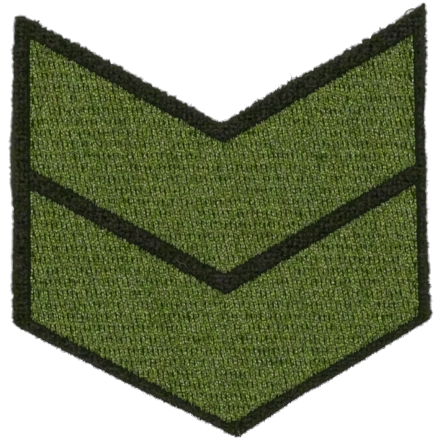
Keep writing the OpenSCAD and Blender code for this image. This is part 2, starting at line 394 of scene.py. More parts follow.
def weaveRibs(opts, x, y):
    # Sum of two waves, one along each yarn direction, whose places wander a little; -2 to 2
    return (np.sin(2 * np.pi * x / opts["weaveX"] + 0.8 * noise2(x, y, 4, 2.1))
            + np.sin(2 * np.pi * y / opts["weaveY"] + 0.8 * noise2(x, y, 5, 2.1)))


def clothTop(opts, x, y):
    # Height: bed, plus the bands' rounded rise with distance from the stitches, minus the
    # quarter round at the cut edge, plus weave and nap that fade out under the stitches.
    outside, fromCut = clothDistances(x, y)
    rise = np.sqrt(1 - (1 - np.clip(outside / opts["shoulder"], 0, 1)) ** 2)
    fall = 1 - np.sqrt(1 - (1 - np.clip(fromCut / opts["cutRound"], 0, 1)) ** 2)
    nap = noise2(x, y, 21, 0.9) + 0.9 * noise2(x, y, 22, 0.42) + 0.5 * noise2(x, y, 23, 2.6)
    relief = (opts["weaveDepth"] * weaveRibs(opts, x, y) + opts["nap"] * nap) * rise
    z = opts["bedTop"] + (opts["bandTop"] - opts["bedTop"]) * rise
    return z - (opts["bandTop"] - opts["cutTop"]) * fall + relief * (1 - 0.6 * fall)


def ringOutward(ring):  # unit vectors out of a ring, square to the line through its neighbours
    step = np.roll(ring, -3, 0) - np.roll(ring, 3, 0)
    return np.stack([step[:, 1], -step[:, 0]], 1) / np.hypot(step[:, 0], step[:, 1])[:, None]


def makeCloth(opts, material):
    # The top is z = clothTop(x, y) on the grid, the cut wall hangs from its rim in bulging rings and
    # the back is one flat face
    x, y, colZone, rowZone = clothGrid(opts)
    top = np.stack([x, y, clothTop(opts, x, y)], 2).reshape(-1, 3)
    index, cells, rim = gridFaces(*x.shape)
    sewn = (colZone == 1) | (colZone == 2)
    cells = cells[~((rowZone[:-1] % 2 == 1)[:, None] & sewn[:-1])]
    beds = []
    for zone in (1, 3):  # one flat face under each chevron
        r, c = np.flatnonzero(rowZone == zone), np.flatnonzero(sewn)
        r0, r1, c0, c1 = r[0], r[-1] + 1, c[0], c[-1] + 1
        ring = np.concatenate([index[r0:r1, c0], index[r1, c0:c1], index[r1:r0:-1, c1],
                               index[r0, c1:c0:-1]])
        beds.append(ring)
        top[ring, 2] = opts["bedTop"]
    edge = top[rim]
    outward = ringOutward(edge)
    bulge = opts["bulge"] * (1 + hashNoise(len(rim), opts["seed"] + 40))
    rings = []
    for height, push in opts["wall"]:
        ring = edge * [1, 1, height]
        ring[:, :2] += outward * (push * bulge)[:, None]
        rings.append(ring)
    eased = sum(np.roll(edge, shift, 0) for shift in range(-4, 5)) / 9  # teeth and corners evened out
    rings.append(np.column_stack([eased[:, :2] - opts["lipInset"] * ringOutward(eased),
                                  np.full(len(rim), opts["lip"])]))
    points = np.concatenate([top, *rings])
    levels = [rim, *np.arange(len(top), len(points)).reshape(len(rings), -1)]
    walls, wallUv = zip(*(wallBetween(*levels[i:i + 2], 1 - 0.01 * i, 0.99 - 0.01 * i)
                          for i in range(len(rings))))
    back = levels[-1][::-1]
    uv = flatMap(points)
    uv = np.concatenate([uv[cells.ravel()], *wallUv, *(uv[ring] for ring in beds), uv[back] + [0.5, 0]])
    used = np.unique(np.concatenate([cells.ravel(), *beds, np.arange(len(top), len(points))]))
    renumber = np.full(len(points), -1)
    renumber[used] = np.arange(len(used))
    faces = [renumber[face] for face in (*cells, *np.concatenate(walls), *beds, back)]
    shown = points[used]
    piece = meshObject("patchCloth", shown, faces, uv, material)
    outside, fromCut = clothDistances(shown[:, 0], shown[:, 1])
    markX, markY, halfX, halfY, warmer, paler = np.array(clothMarks).T
    spots = np.exp(-((shown[:, :1] - markX) / halfX) ** 2 - ((shown[:, 1:2] - markY) / halfY) ** 2)
    # Painted shade in the weave's grooves and paler ribs, following the relief
    ribs = opts["weaveShade"] * weaveRibs(opts, shown[:, 0], shown[:, 1])
    pointAttribute(piece, "rubbed", np.exp(-np.maximum(fromCut, 0) / opts["rubbedWidth"]))
    pointAttribute(piece, "stitchShade", np.exp(-(np.maximum(outside, 0) / opts["shadeWidth"]) ** 2))
    pointAttribute(piece, "warmth", spots @ warmer)
    # Painted shade of the weave, plus the marks' own paler and darker tones
    pointAttribute(piece, "paintedLightAndTone", ribs + spots @ paler)
    return piece, edge, outward, top[np.unique(cells.ravel())]


# Stitches: each chevron is filled with flat two-ply yarns laid side by side. At every needle
# hole two neighbours are drawn apart, and the slit between them closes slowly downwards.

chevronYarn = {
    "lean": math.radians(12.8),  # the rows of holes lean this far from upright, down to the right
    "pitch": 0.824,        # distance between two yarns, mm
    "stitch": 2.051,       # length of one stitch
    "rowShift": 0.187,     # how far a slit lies along the yarn from its neighbour's
    "stitchLean": 0.17,    # how far a yarn runs to the left over one stitch
    "reach": 1.03,         # half width where neighbours meet, share of half the pitch
    "slit": 0.32,          # widest opening between two yarns
    "slitLength": 0.47,    # share of a stitch
    "slitWidths": (0.64, 0.44),  # usual share of the widest opening, and its spread
    "slitOpens": 0.13,     # it opens over this share of a stitch
    "slitStray": 0.17,     # uneven place of a slit, share of a stitch
    "slitRow": 0.31,       # how much one row of stitches differs from the next
    "slitRegion": 0.08,    # how much tighter or looser whole places are sewn
    "crown": 1.42,         # top of a yarn above the table
    "base": 0.81,          # its lowest point, just above the bed
    "dome": 0.30,          # its top above its edges beside a slit
    "joined": 0.23,        # share of that where neighbours touch
    "sink": 0.10,          # how far it is drawn down beside a slit
    "beadEvery": 0.61,     # one twist of the plies shows as one bead
    "beadRise": 0.075,
    "beadAlong": 0.195,
    "beadAcross": 0.095,
    "beadRows": (-0.17, 0.17),  # beads lie in two rows, one of each ply
    "beadStray": 0.085,    # how far a bead strays from its row
    "beadTilt": 0.45,      # how far one leans, sideways over along
    "beadSizes": (0.66, 0.48),  # usual size and its spread
    "wave": 0.06,
    "edgeWave": 0.03,      # unevenness of a yarn's two edges
    "heightStray": 0.03,
    "endDrop": 0.36,       # how far a yarn's end turns down
    "endLength": 0.5,
    "endStray": 0.12,
    "sideInset": 0.66,     # yarns stop this far from the chevron's upright ends
    "topInset": 0.34,
    "footInset": 0.26,
    "shortest": 0.8,       # a shorter yarn is left out
    "step": 0.13,          # rings along a yarn
    "points": 9,           # points over its top
    "beadHighlight": 0.93,      # what makes the thread look paler, shares of the colour scale: a painted highlight on the beads, painted shade towards the yarn's sides where the dome falls, a random tone and paler ends
    "domeShade": 0.13,
    "paleTone": 0.05,
    "paleEnd": 0.12,
    "seed": 71,
}


def spacedRings(first, last, step):  # rings of each run, then run and place along it of each ring
    counts = np.maximum(6, np.ceil((last - first) / step).astype(int)) + 1
    owner = np.repeat(np.arange(len(counts)), counts)
    ring = np.arange(counts.sum()) - np.repeat(np.cumsum(counts) - counts, counts)
    return counts, owner, mix(first[owner], last[owner], ring / (counts[owner] - 1))


def slantedRuns(opts, top, foot, number, lateral, keys):
    # Walks each slanted line in small steps, keeps the stretch inside the chevron, strays its two
    # ends and spaces rings along it: rings of each run, then run, number, start, end and place of
    # each ring
    sin, cos = math.sin(opts["lean"]), math.cos(opts["lean"])
    along = np.arange(-60, 60, 0.02)
    x = lateral[:, None] * cos + along * sin
    y = lateral[:, None] * sin - along * cos
    side = opts["sideInset"]
    inside = ((y < bentY(top, x) - opts["topInset"]) & (y > bentY(foot, x) + opts["footInset"])
              & (x > sideX("leftFill", y) + side) & (x < sideX("rightFill", y) - side))
    first = along[np.argmax(inside, 1)]
    last = along[inside.shape[1] - 1 - np.argmax(inside[:, ::-1], 1)]
    kept = inside.any(1) & (last - first > opts["shortest"])
    first, last = (end[kept] + opts["endStray"] * hashAt(number[kept], *key)
                   for end, key in zip((first, last), keys))
    counts, owner, w = spacedRings(first, last, opts["step"])
    return counts, owner, number[kept][owner], first[owner], last[owner], w


def slitOpening(opts, gap, w):
    # Between two yarns: opens over a small part of a stitch at each hole and closes as
    # (1 - t^2)^0.8; here and there one is torn open for longer
    phase = (w - (gap + 0.5) * opts["rowShift"]) / opts["stitch"]
    seed, place = opts["seed"], gap * opts["pitch"]
    usual, spread = opts["slitWidths"]
    region = opts["slitRegion"] * noise2(place, w, seed + 10, 4.3)
    widest = np.clip(2.2 * smoothNoise(w + 37.1 * gap, seed + 4, 3.4) - 1.75, 0, 0.45)
    for shift in (-1, 0):
        hole = np.floor(phase) + shift
        row = smoothNoise(place + 53.7 * hole, seed + 12, 3.4)
        late, longer, wider = (hashAt(gap, hole, seed + k) for k in (1, 2, 3))
        t = phase - hole - opts["slitStray"] * (1 + 0.6 * late + 0.4 * row)
        length = opts["slitLength"] * (1 + 0.4 * longer)
        opening = smoothStep(t / opts["slitOpens"]) * np.clip(1 - (t / length) ** 2, 0, 1) ** 0.8
        width = np.clip(usual + spread * wider + opts["slitRow"] * row + region, 0, 1.3)
        widest = np.maximum(widest, opening * width)
    return widest


def beadHeight(opts, yarn, across, w):
    # Highest of the long bumps exp(-(along/a)^2 - (side/b)^2) that lie near, each off its place
    every, seed = opts["beadEvery"], opts["seed"]
    usual, spread = opts["beadSizes"]
    height = np.zeros(across.shape)
    for row, middle in enumerate(opts["beadRows"]):
        start = hashAt(yarn, row, seed + 8) + 0.5 * smoothNoise(w + 13.7 * yarn, seed + 9 + row, 2.7)
        for shift in (-1, 0, 1):
            bead = np.floor(w / every - start) + shift
            late, aside, larger, turned = (hashAt(yarn, 2 * bead + row, seed + k)[:, None]
                                           for k in (5, 6, 7, 11))
            along = (w - (bead + 0.5 + start) * every)[:, None] - 0.18 * every * late
            side = across - middle - opts["beadStray"] * aside - opts["beadTilt"] * turned * along
            bump = np.exp(-(along / opts["beadAlong"]) ** 2 - (side / opts["beadAcross"]) ** 2)
            height = np.maximum(height, np.clip(usual + spread * larger, 0.05, 1.25) * bump)
    return height


def yarnPiece(name, opts, yarn, centre, sideways, w, sides, top, down, tone, grey, counts, material):
    # Flat rounded yarn: height over the width is top - dome * (1 - (1 - |u|^3)^(1/3)) plus beads,
    # the dome is flatter where the neighbour is close, and one point below closes each ring
    left, right, openLeft, openRight = (side[:, None] for side in sides)
    u = np.sin(np.linspace(-np.pi / 2, np.pi / 2, opts["points"]))
    across = np.where(u < 0, left, right) * u
    bead = beadHeight(opts, yarn, across, w)
    freed = mix(opts["joined"], 1, np.where(u < 0, openLeft, openRight).clip(0, 1))
    dome = 1 - (1 - np.cbrt(1 - abs(u) ** 3)) * freed
    z = top[:, None] - opts["dome"] * (1 - dome) + opts["beadRise"] * bead
    below = np.zeros((len(w), 1))
    z = np.concatenate([np.maximum(z, opts["base"]), below + opts["base"]], 1)
    across = np.concatenate([across, below], 1)
    xy = centre[:, None, :] + across[:, :, None] * sideways
    piece = ringTubes(name, np.concatenate([xy, z[:, :, None]], 2), counts, material)
    # Painted highlight on the beads and painted shade towards the yarn's sides, where the dome falls;
    # then a random tone and paler ends
    pale = opts["beadHighlight"] * bead + opts["domeShade"] * dome
    pale = pale + (opts["paleTone"] * tone + opts["paleEnd"] * down)[:, None]
    pointAttribute(piece, "paintedLightAndTone", np.concatenate([pale, below], 1))
    pointAttribute(piece, "greyness", np.repeat(grey * np.ones(len(w)), opts["points"] + 1))
    return piece


def makeYarns(name, opts, top, foot, numbers, material):
    # The rings' middles follow the slanted line, and each side of a yarn draws back from its
    # neighbour by half the slit between them.
    sin, cos = math.sin(opts["lean"]), math.cos(opts["lean"])
    seed = opts["seed"]
    number = np.arange(*numbers)
    keys = [(ord(top[0]), seed + k) for k in (20, 21)]
    counts, _, yarn, first, last, w = slantedRuns(opts, top, foot, number,
                                                  (number + 0.5) * opts["pitch"], keys)

    def uneven(k, period):
        return smoothNoise(w + 31.7 * yarn, seed + k, period)

    down = 1 - np.clip(np.minimum(w - first, last - w) / opts["endLength"], 0, 1)
    half = 0.5 * opts["pitch"] * opts["reach"] * (1 - 0.1 * down ** 2)
    openings = [slitOpening(opts, gap, w) * (1 - 0.8 * down) for gap in (yarn - 1, yarn)]
    halves = [half - 0.5 * opts["slit"] * opening + opts["edgeWave"] * uneven(k, 0.34)
              for k, opening in zip((27, 28), openings)]
    phase = (w - yarn * opts["rowShift"]) / opts["stitch"]
    saw = phase - np.floor(phase) - 0.5
    saw = np.where(saw > 0.35, (0.5 - saw) * 2.33, saw)
    s = (yarn + 0.5) * opts["pitch"] - opts["stitchLean"] * saw + opts["wave"] * uneven(23, 1.1)
    z = opts["crown"] - opts["sink"] * 0.5 * sum(openings) - opts["endDrop"] * down ** 2
    z = z + opts["heightStray"] * (uneven(24, 1.4) + noise2(s, w, 5, 3.1))
    tone = 0.5 * hashAt(yarn, 7, seed + 25) + 0.7 * uneven(26, 1.3)
    centre = np.stack([s * cos + w * sin, s * sin - w * cos], 1)
    return yarnPiece(name, opts, yarn, centre, np.array([cos, sin]), w, (*halves, *openings),
                     z, down, tone, 0.6 * down, counts, material)


borderRun = {
    "inset": 0.54,   # from the chevron's upright end to the middle of the run
    "topInset": 0.45,
    "footInset": 0.35,
    "half": 0.24,
    "uneven": (0.32, 0.42),  # coarse and fine unevenness, shares of its width
    "crown": 1.44,
    "wave": 0.08,
    "waveLength": 0.8,
    "heightStray": 0.03,
    "tone": (-2.6, 1.5),     # darker than the yarns, and how much that changes
    "step": 0.11,
    "beads": {"beadRows": (0.0,), "beadStray": 0.05, "beadAcross": 0.16},
    "seed": 90,
}


def makeBorderRun(name, run, opts, top, foot, edge, material):
    # One upright yarn along a chevron's end, from its top line to its foot line
    sign = 1 if edge == "leftFill" else -1
    lineX = sideX(edge, 0) + sign * run["inset"]
    yTop, yFoot = bentY(top, lineX) - run["topInset"], bentY(foot, lineX) + run["footInset"]
    counts, _, w = spacedRings(np.array([-yTop]), np.array([-yFoot]), run["step"])
    seed = run["seed"] + sign + ord(top[0])
    x = sideX(edge, -w) + sign * run["inset"] + run["wave"] * smoothNoise(w, seed, run["waveLength"])
    down = 1 - np.clip(np.minimum(w - w[0], w[-1] - w) / opts["endLength"], 0, 1)
    coarse, fine = run["uneven"]
    uneven = coarse * smoothNoise(w, seed + 3, 0.7) + fine * smoothNoise(w, seed + 5, 0.33)
    half = run["half"] * (1 + uneven) * (1 - 0.3 * down ** 2)
    z = run["crown"] + run["heightStray"] * smoothNoise(w, seed + 1, 1.5) - opts["endDrop"] * down ** 2
    tone = run["tone"][0] + run["tone"][1] * smoothNoise(w, seed + 4, 0.8)
    ones = np.ones(len(w))
    centre = np.stack([x, -w], 1)
    return yarnPiece(name, {**opts, **run["beads"]}, seed * ones, centre, np.array([1, 0]), w,
                     (half, half, ones, ones), z, down, tone, 1.0, counts, material)


borderStitches = {
    "spacing": 0.44,     # small stitches that hold down the yarns' ends
    "sideInset": 0.62,
    "half": 0.14,
    "length": 0.85,
    "crown": 1.47,
    "tipDrop": 0.38,     # how far the outer end turns down to the cloth
    "sink": 0.22,        # how far the inner end sinks between the yarns
    "heightStray": 0.03,
    "topInset": 0.12,    # from the chevron's line to the outer end
    "footInset": 0.08,
    "stray": 0.19,       # unevenness of the ends, one by one and in small groups
    "placeStray": 0.18,  # unevenness of the spacing
    "tilt": 0.28,
    # Painted light and tone: a random tone, with painted shade where a stitch sinks between the yarns
    "paintedLightAndTone": 0.33,
    "seed": 170,
}


def makeBorderStitches(name, opts, top, foot, material):
    # Short threads along the top and the foot line: each turns up over the line, runs inwards
    # along a leaning straight line and sinks between the yarns
    t = np.linspace(0, 1, 5)
    paths, widths, tones = [], [], []
    for line, inward, inset in ((top, -1, opts["topInset"]), (foot, 1, opts["footInset"])):
        row = 2 * (opts["seed"] + ord(top[0])) + inward
        x = np.arange(-34.5, 35.5, opts["spacing"])
        number = np.arange(len(x))
        x = x + opts["placeStray"] * hashAt(number, 1, row)
        uneven = hashAt(number, 2, row) + 0.8 * hashAt(np.floor(x / 1.1), 3, row)
        y = bentY(line, x) + inward * (inset + opts["stray"] * uneven)
        side = opts["sideInset"]
        kept = (x > sideX("leftFill", y) + side) & (x < sideX("rightFill", y) - side)
        x, y = x[kept, None], y[kept, None]
        lean, longer, higher, wider, paler = (hashAt(number[kept, None], k, row) for k in range(4, 9))
        reach = opts["length"] * (1 + 0.35 * longer) * t
        z = opts["crown"] - opts["tipDrop"] * (1 - t) ** 3 - opts["sink"] * t ** 4
        z = z + opts["heightStray"] * higher
        aside = opts["tilt"] * (0.35 + lean) * reach
        paths.append(np.stack([x - inward * aside, y + inward * reach, z], 2))
        widths.append(opts["half"] * (1 + 0.3 * wider) * (1 - 0.35 * (2 * t - 1) ** 4))
        # Random tone, darker towards the inner end: painted shade where it sinks between the yarns
        tones.append(opts["paintedLightAndTone"] * (1 + 0.7 * paler) * (1 - 0.35 * t))
    path, width, tone = np.concatenate(paths), np.concatenate(widths), np.concatenate(tones)
    sides = 6
    rings = roundRings(path, np.gradient(path, axis=1), width, sides, np.array([0, 0, 0.75]))
    rings[..., 2] = np.maximum(rings[..., 2], chevronYarn["base"])
    piece = ringTubes(name, rings.reshape(-1, sides, 3), np.full(len(path), len(t)), material)
    pointAttribute(piece, "paintedLightAndTone", np.repeat(tone, sides))
    pointAttribute(piece, "greyness", np.repeat((1 - 0.6 * t) * np.ones(tone.shape), sides))
    return piece


underlay = {
    "inset": 0.45,
    "base": 0.8,
    "top": 0.95,
    "rows": 9,
    "cols": 24,  # on each side of the bend
}


def makeUnderlay(name, opts, top, foot, material):
    # Foundation stitches: a low solid inside the chevron's border, mixed between its lines; its
    # near-black green is painted shade, seen deep in the needle slits
    inset = opts["inset"]
    share = np.linspace(0, 1, opts["rows"])[:, None]
    line = mix(np.array(drawing[top]), np.array(drawing[foot]), share)
    left, right = sideX("leftFill", line[:, :1]) + inset, sideX("rightFill", line[:, 3:]) - inset
    u = np.arange(opts["cols"] + 1) / opts["cols"]
    x = np.concatenate([mix(left, line[:, 1:2], u[:-1]), mix(line[:, 1:2], right, u)], 1)
    y = mix(bentY(top, x) - inset, bentY(foot, x) + inset, share)
    high, low = (np.stack([x, y, np.full_like(x, opts[level])], 2).reshape(-1, 3)
                 for level in ("top", "base"))
    _, quads, rim = gridFaces(*x.shape)
    quads = quads.reshape(-1, 4)
    wall, wallUv = wallBetween(rim, rim + len(high), 0.99, 0.96)
    flat = flatMap(high)
    uv = np.concatenate([flat[quads.ravel()], flat[quads[:, ::-1].ravel()] + [0.5, 0], wallUv])
    faces = np.concatenate([quads, quads[:, ::-1] + len(high), wall])
    return meshObject(name, np.concatenate([high, low]), faces, uv, material, smooth=False)


# Underside: flat rows of bobbin thread behind each chevron

bobbinRows = {
    "spacing": 0.62,
    "half": 0.27,
    "thickness": 0.055,
    "lean": math.radians(-9.0),
    "step": 0.45,
    "sideInset": 0.3,
    "endStray": 0.2,
    "wave": 0.05,
    "seed": 130,
}


def makeBobbinRows(name, rows, top, foot, material):
    # Flat rings of four points along slanted lines, as wide as half times a slow noise
    sin, cos = math.sin(rows["lean"]), math.cos(rows["lean"])
    number, seed = np.arange(-70, 70), rows["seed"]
    counts, owner, row, _, _, w = slantedRuns({**chevronYarn, **rows}, top, foot, number,
                                              number * rows["spacing"], ((1, seed), (2, seed)))
    s = row * rows["spacing"] + rows["wave"] * smoothNoise(w + 31.7 * owner, seed + 1, 1.3)
    half = rows["half"] * (1 + 0.2 * smoothNoise(w + 17.3 * owner, seed + 2, 0.9))
    across = half[:, None] * np.array([-1, 0, 1, 0])
    z = np.tile(rows["thickness"] * np.array([0.5, 1, 0.5, 0]), (len(w), 1))
    x = (s * cos + w * sin)[:, None] + across * cos
    y = (s * sin - w * cos)[:, None] + across * sin
    return ringTubes(name, np.stack([x, y, z], 2), counts, material)


# Loose fibres: curved hairs P + D L t + C L t^2 that taper to their tips

looseFibres = {
    "fuzzCount": 16000,    # short hairs that soften the cut edge, in each of two pieces
    "fuzzLength": 0.31,    # mean length, mm
    "fuzzBottom": 0.8,     # share of that along the two lower edges, where they are even
    "fuzzRadius": 0.008,
    "edgeCount": 500,      # longer hairs that stand out of it
    "edgeLength": 0.34,
    "edgeLongest": 1.1,
    "edgeSpread": 0.6,     # how far their bearings stray from straight out, radians
    "edgeLift": (-0.25, 0.45),     # least and most rise for each length
    "rootHeights": (0.25, 1.15),   # where they start on the cut wall, shares of its height
    "rootStray": 0.05,
    "rootOut": 0.02,       # how far outside the edge they start
    "radius": 0.013,
    "napCount": 2600,      # hairs that lie on the bare bands
    "napLength": 0.42,
    "napRadius": 0.016,
    "curl": 0.55,
    "rings": 5,
    "tuftHairs": 26,       # hairs in one tuft
    "seed": 210,
}
edgeTufts = (  # larger tufts on the cut edge: x, y, length, mm
    (6.4, 20.6, 0.6), (12.4, 24.6, 0.7), (17.8, 27.6, 0.6), (23.6, 30.4, 0.7), (25.3, 31.6, 0.6),
    (28.0, 33.1, 0.6), (-33.3, 35.4, 0.5), (-31.9, 34.2, 0.6), (-28.8, 32.2, 0.5), (-25.1, 30.6, 0.5),
    (-23.4, 29.7, 0.6), (-17.4, 26.7, 0.6), (35.9, 30.4, 0.5), (35.9, 29.2, 0.6), (36.3, -7.6, 0.5),
    (36.3, -8.8, 0.6), (36.5, -13.2, 0.6), (-36.6, 24.4, 0.5), (-36.4, 8.0, 0.8), (-36.5, 6.4, 0.7),
    (-36.6, -14.8, 0.5), (-36.4, -17.0, 0.45), (-3.9, -34.0, 0.7), (-3.1, -34.4, 0.6),
)


def makeHairs(name, roots, bearing, lift, length, radius, opts, seed, material, bending=True):
    # Hairs start at roots and head along bearing (radians in the plane), rising by lift per length
    n, steps = len(roots), opts["rings"] if bending else 2
    rng = np.random.default_rng(seed)
    t = np.linspace(0, 1, steps)[:, None]
    heading = np.stack([np.cos(bearing), np.sin(bearing), lift], 1)[:, None]
    bend = opts["curl"] * rng.uniform(-1, 1, (n, 3)) * [1, 1, 0.25]
    bend[:, 2] -= 0.55 * lift
    bend = bend[:, None]
    path = roots[:, None] + length[:, None, None] * (heading * t + bend * t * t)
    rings = roundRings(path, heading + 2 * bend * t, radius[:, None] * (1 - 0.6 * t[:, 0]), 4)
    rings[..., 2] = np.maximum(rings[..., 2], 0)
    return ringTubes(name, rings.reshape(n * steps, 4, 3), np.full(n, steps), material)


def edgeHairs(name, opts, edge, outward, pick, length, radius, rng, material, bending):
    # Roots are scattered about the picked points of the edge and over the height of the cut wall,
    # and bearings about the way straight out
    n = len(pick)
    bearing = np.arctan2(outward[pick, 1], outward[pick, 0]) + rng.normal(0, opts["edgeSpread"], n)
    roots = edge[pick] + rng.normal(0, opts["rootStray"], (n, 3))
    roots[:, :2] += opts["rootOut"] * outward[pick]
    roots[:, 2] = groundCloth["cutTop"] * rng.uniform(*opts["rootHeights"], n)
    lift = rng.uniform(*opts["edgeLift"], n)
    radius = radius * rng.uniform(0.6, 1.3, n)
    return makeHairs(name, roots, bearing, lift, length, radius, opts, opts["seed"] + 1, material,
                     bending)


def makeEdgeFuzz(name, opts, edge, outward, seed, material):
    # Hairs follow the edge evenly, each 0.05 - mean ln(1 - u) long: u is random, but steps by the
    # golden ratio along the lower edges, so that long and short hairs take turns there
    rng = np.random.default_rng(opts["seed"] + seed)
    number = np.arange(opts["fuzzCount"])
    pick = number * len(edge) // opts["fuzzCount"]
    below = outward[pick, 1] < -0.5
    u = np.where(below, number * 0.618034 % 1, rng.uniform(0, 1, len(pick)))
    mean = opts["fuzzLength"] * np.where(below, opts["fuzzBottom"], 1)
    length = np.minimum(0.05 - mean * np.log(1 - u), 0.9)
    return edgeHairs(name, opts, edge, outward, pick, length, opts["fuzzRadius"], rng, material, False)


def makeEdgeFibres(opts, edge, outward, material):
    # Longer hairs: at random points of the edge with exponential lengths, and in tufts about the
    # points of the edge nearest to the tufts' places
    rng = np.random.default_rng(opts["seed"])
    pick = rng.integers(0, len(edge), opts["edgeCount"])
    tufts = np.array(edgeTufts)
    nearest = np.argmin(np.hypot(*(edge[None, :, :2] - tufts[:, None, :2]).transpose(2, 0, 1)), 1)
    tuftPick = np.repeat(nearest, opts["tuftHairs"]) + rng.integers(-2, 3, len(tufts) * opts["tuftHairs"])
    length = np.minimum(0.06 + rng.exponential(opts["edgeLength"], len(pick)), opts["edgeLongest"])
    tuftLength = np.repeat(tufts[:, 2], opts["tuftHairs"]) * rng.uniform(0.5, 1.0, len(tuftPick))
    pick = np.concatenate([pick, tuftPick]) % len(edge)
    length = np.concatenate([length, tuftLength])
    return edgeHairs("cutEdgeFibres", opts, edge, outward, pick, length, opts["radius"], rng, material,
                     True)


def makeNap(opts, points, material):
    # Hairs with random bearings on random points of the cloth's top
    rng = np.random.default_rng(opts["seed"] + 5)
    roots = points[rng.integers(0, len(points), opts["napCount"])] + [0, 0, 0.01]
    bearing = rng.uniform(0, 2 * np.pi, len(roots))
    length = opts["napLength"] * rng.uniform(0.5, 1.6, len(roots))
    radius = opts["napRadius"] * rng.uniform(0.7, 1.3, len(roots))
    lift = rng.uniform(0.1, 0.35, len(roots))
    return makeHairs("bandNap", roots, bearing, lift, length, radius, opts, opts["seed"] + 6, material)


strayThreads = (  # single threads and lint: radius, then the points they pass through
    ("looseLoop", 0.085, ((31.6, 35.2, 0.7), (32.15, 35.85, 0.75), (32.35, 36.4, 0.72),
                          (32.8, 36.85, 0.65), (33.35, 37.1, 0.6), (33.85, 37.15, 0.55),
                          (34.3, 36.95, 0.5))),
    ("bandHair", 0.022, ((34.0, -5.75, 1.3), (34.8, -5.95, 1.38), (35.4, -5.8, 1.32),
                         (36.1, -5.9, 1.15))),
    ("curledFibre", 0.03, ((-7.8, -6.6, 1.3), (-7.1, -7.3, 1.4), (-6.3, -7.5, 1.38), (-5.8, -8.1, 1.33),
                           (-5.5, -8.4, 1.25))),
    ("notchThread", 0.05, ((-1.2, 15.75, 1.25), (-0.7, 15.95, 1.32), (-0.2, 15.8, 1.24))),
    ("edgeWisp", 0.05, ((13.5, 24.1, 1.1), (12.9, 24.35, 1.1), (12.55, 24.8, 0.95), (12.4, 25.4, 0.8),
                        (12.3, 25.95, 0.7))),
    ("frayedTip", 0.13, ((3.15, -36.7, 1.2), (3.3, -37.05, 1.12), (3.42, -37.4, 0.9),
                         (3.45, -37.75, 0.6))),
)


def makeStray(name, radius, through, material):
    # Smooth curve through the points. From b to c, with a before and d after them, it is half of
    # 2b + (c - a) t + (2a - 5b + 4c - d) t^2 + (3b - a - 3c + d) t^3; both ends taper.
    p = np.array(through)
    p = np.concatenate([[2 * p[0] - p[1]], p, [2 * p[-1] - p[-2]]])
    t = np.linspace(0, 1, 7)[:-1, None]
    path = np.concatenate([0.5 * (2 * b + (c - a) * t + (2 * a - 5 * b + 4 * c - d) * t ** 2
                                  + (3 * b - a - 3 * c + d) * t ** 3)
                           for a, b, c, d in zip(p[:-3], p[1:-2], p[2:-1], p[3:])] + [p[-2:-1]])
    ring = np.arange(len(path))
    taper = np.clip(np.minimum(ring + 1, ring[::-1] + 1) / 2, 0, 1)
    thick = radius * (1 + 0.25 * np.sin(ring * 1.9)) * taper
    rings = roundRings(path, np.gradient(path, axis=0), thick, 8)
    return ringTubes(name, rings, np.array([len(path)]), material)


# Materials

def newMaterial(name, roughness, specular=0.0):
    # What is the same all over the surface is set on the shader's own sockets
    material = bpy.data.materials.new(name)
    material.use_nodes = True
    shader = material.node_tree.nodes["Principled BSDF"]
    shader.inputs["Roughness"].default_value = roughness
    shader.inputs["Specular IOR Level"].default_value = specular
    return material, material.node_tree, shader


def nodeOn(tree, kind, *values, sockets=None, **settings):
    # Adds a node and feeds its sockets in order, each with a value or with another node's output
    node = tree.nodes.new(kind)
    for key, value in settings.items():
        setattr(node, key, value)
    for socket, value in zip(sockets or range(len(values)), values):
        if isinstance(value, bpy.types.NodeSocket):
            tree.links.new(value, node.inputs[socket])
        else:
            node.inputs[socket].default_value = value
    return node


def mathOn(tree, operation, *values):  # MULTIPLY_ADD is the first times the second plus the third
    return nodeOn(tree, "ShaderNodeMath", *values, operation=operation).outputs[0]


def rampOn(tree, value, colours):  # the colours stand evenly from 0 to 1, with straight mixes between
    node = nodeOn(tree, "ShaderNodeValToRGB", value)
    elements = node.color_ramp.elements
    while len(elements) < len(colours):
        elements.new(0.5)
    for i, colour in enumerate(colours):
        elements[i].position = i / (len(colours) - 1)
        elements[i].color = (*colour, 1)
    return node.outputs["Color"]


def coatOn(tree, share, colour, coat):  # colour + (coat - colour) * share
    return nodeOn(tree, "ShaderNodeMix", share, colour, (*coat, 1), sockets=(0, 6, 7),
                  data_type="RGBA").outputs[2]


def tintOn(tree, colour, strength, tint):  # colour times (1 + strength * tint), channel by channel
    kind = "ShaderNodeVectorMath"
    scaled = nodeOn(tree, kind, tint, strength, sockets=(0, "Scale"), operation="SCALE").outputs[0]
    raised = nodeOn(tree, kind, scaled, (1, 1, 1), operation="ADD").outputs[0]
    return nodeOn(tree, kind, colour, raised, operation="MULTIPLY").outputs[0]


def makeGrainGroup():
    # Three sizes of soft noise on an object's own coordinates, each from about -1 to 1
    group = bpy.data.node_groups.new("fibreGrain", "ShaderNodeTree")
    group.interface.new_socket("Vector", in_out="INPUT", socket_type="NodeSocketVector")
    inlet = group.nodes.new("NodeGroupInput")
    outlet = group.nodes.new("NodeGroupOutput")
    for size, detail in (("Fine", 1.0), ("Coarse", 2.0), ("Broad", 2.0)):
        group.interface.new_socket(size + " Scale", in_out="INPUT", socket_type="NodeSocketFloat")
        group.interface.new_socket(size, in_out="OUTPUT", socket_type="NodeSocketFloat")
        noise = nodeOn(group, "ShaderNodeTexNoise", inlet.outputs["Vector"],
                       inlet.outputs[size + " Scale"], detail, sockets=("Vector", "Scale", "Detail"))
        centred = mathOn(group, "MULTIPLY_ADD", noise.outputs["Fac"], 4.0, -2.0)
        group.links.new(centred, outlet.inputs[size])
    return group


grainGroup = makeGrainGroup()


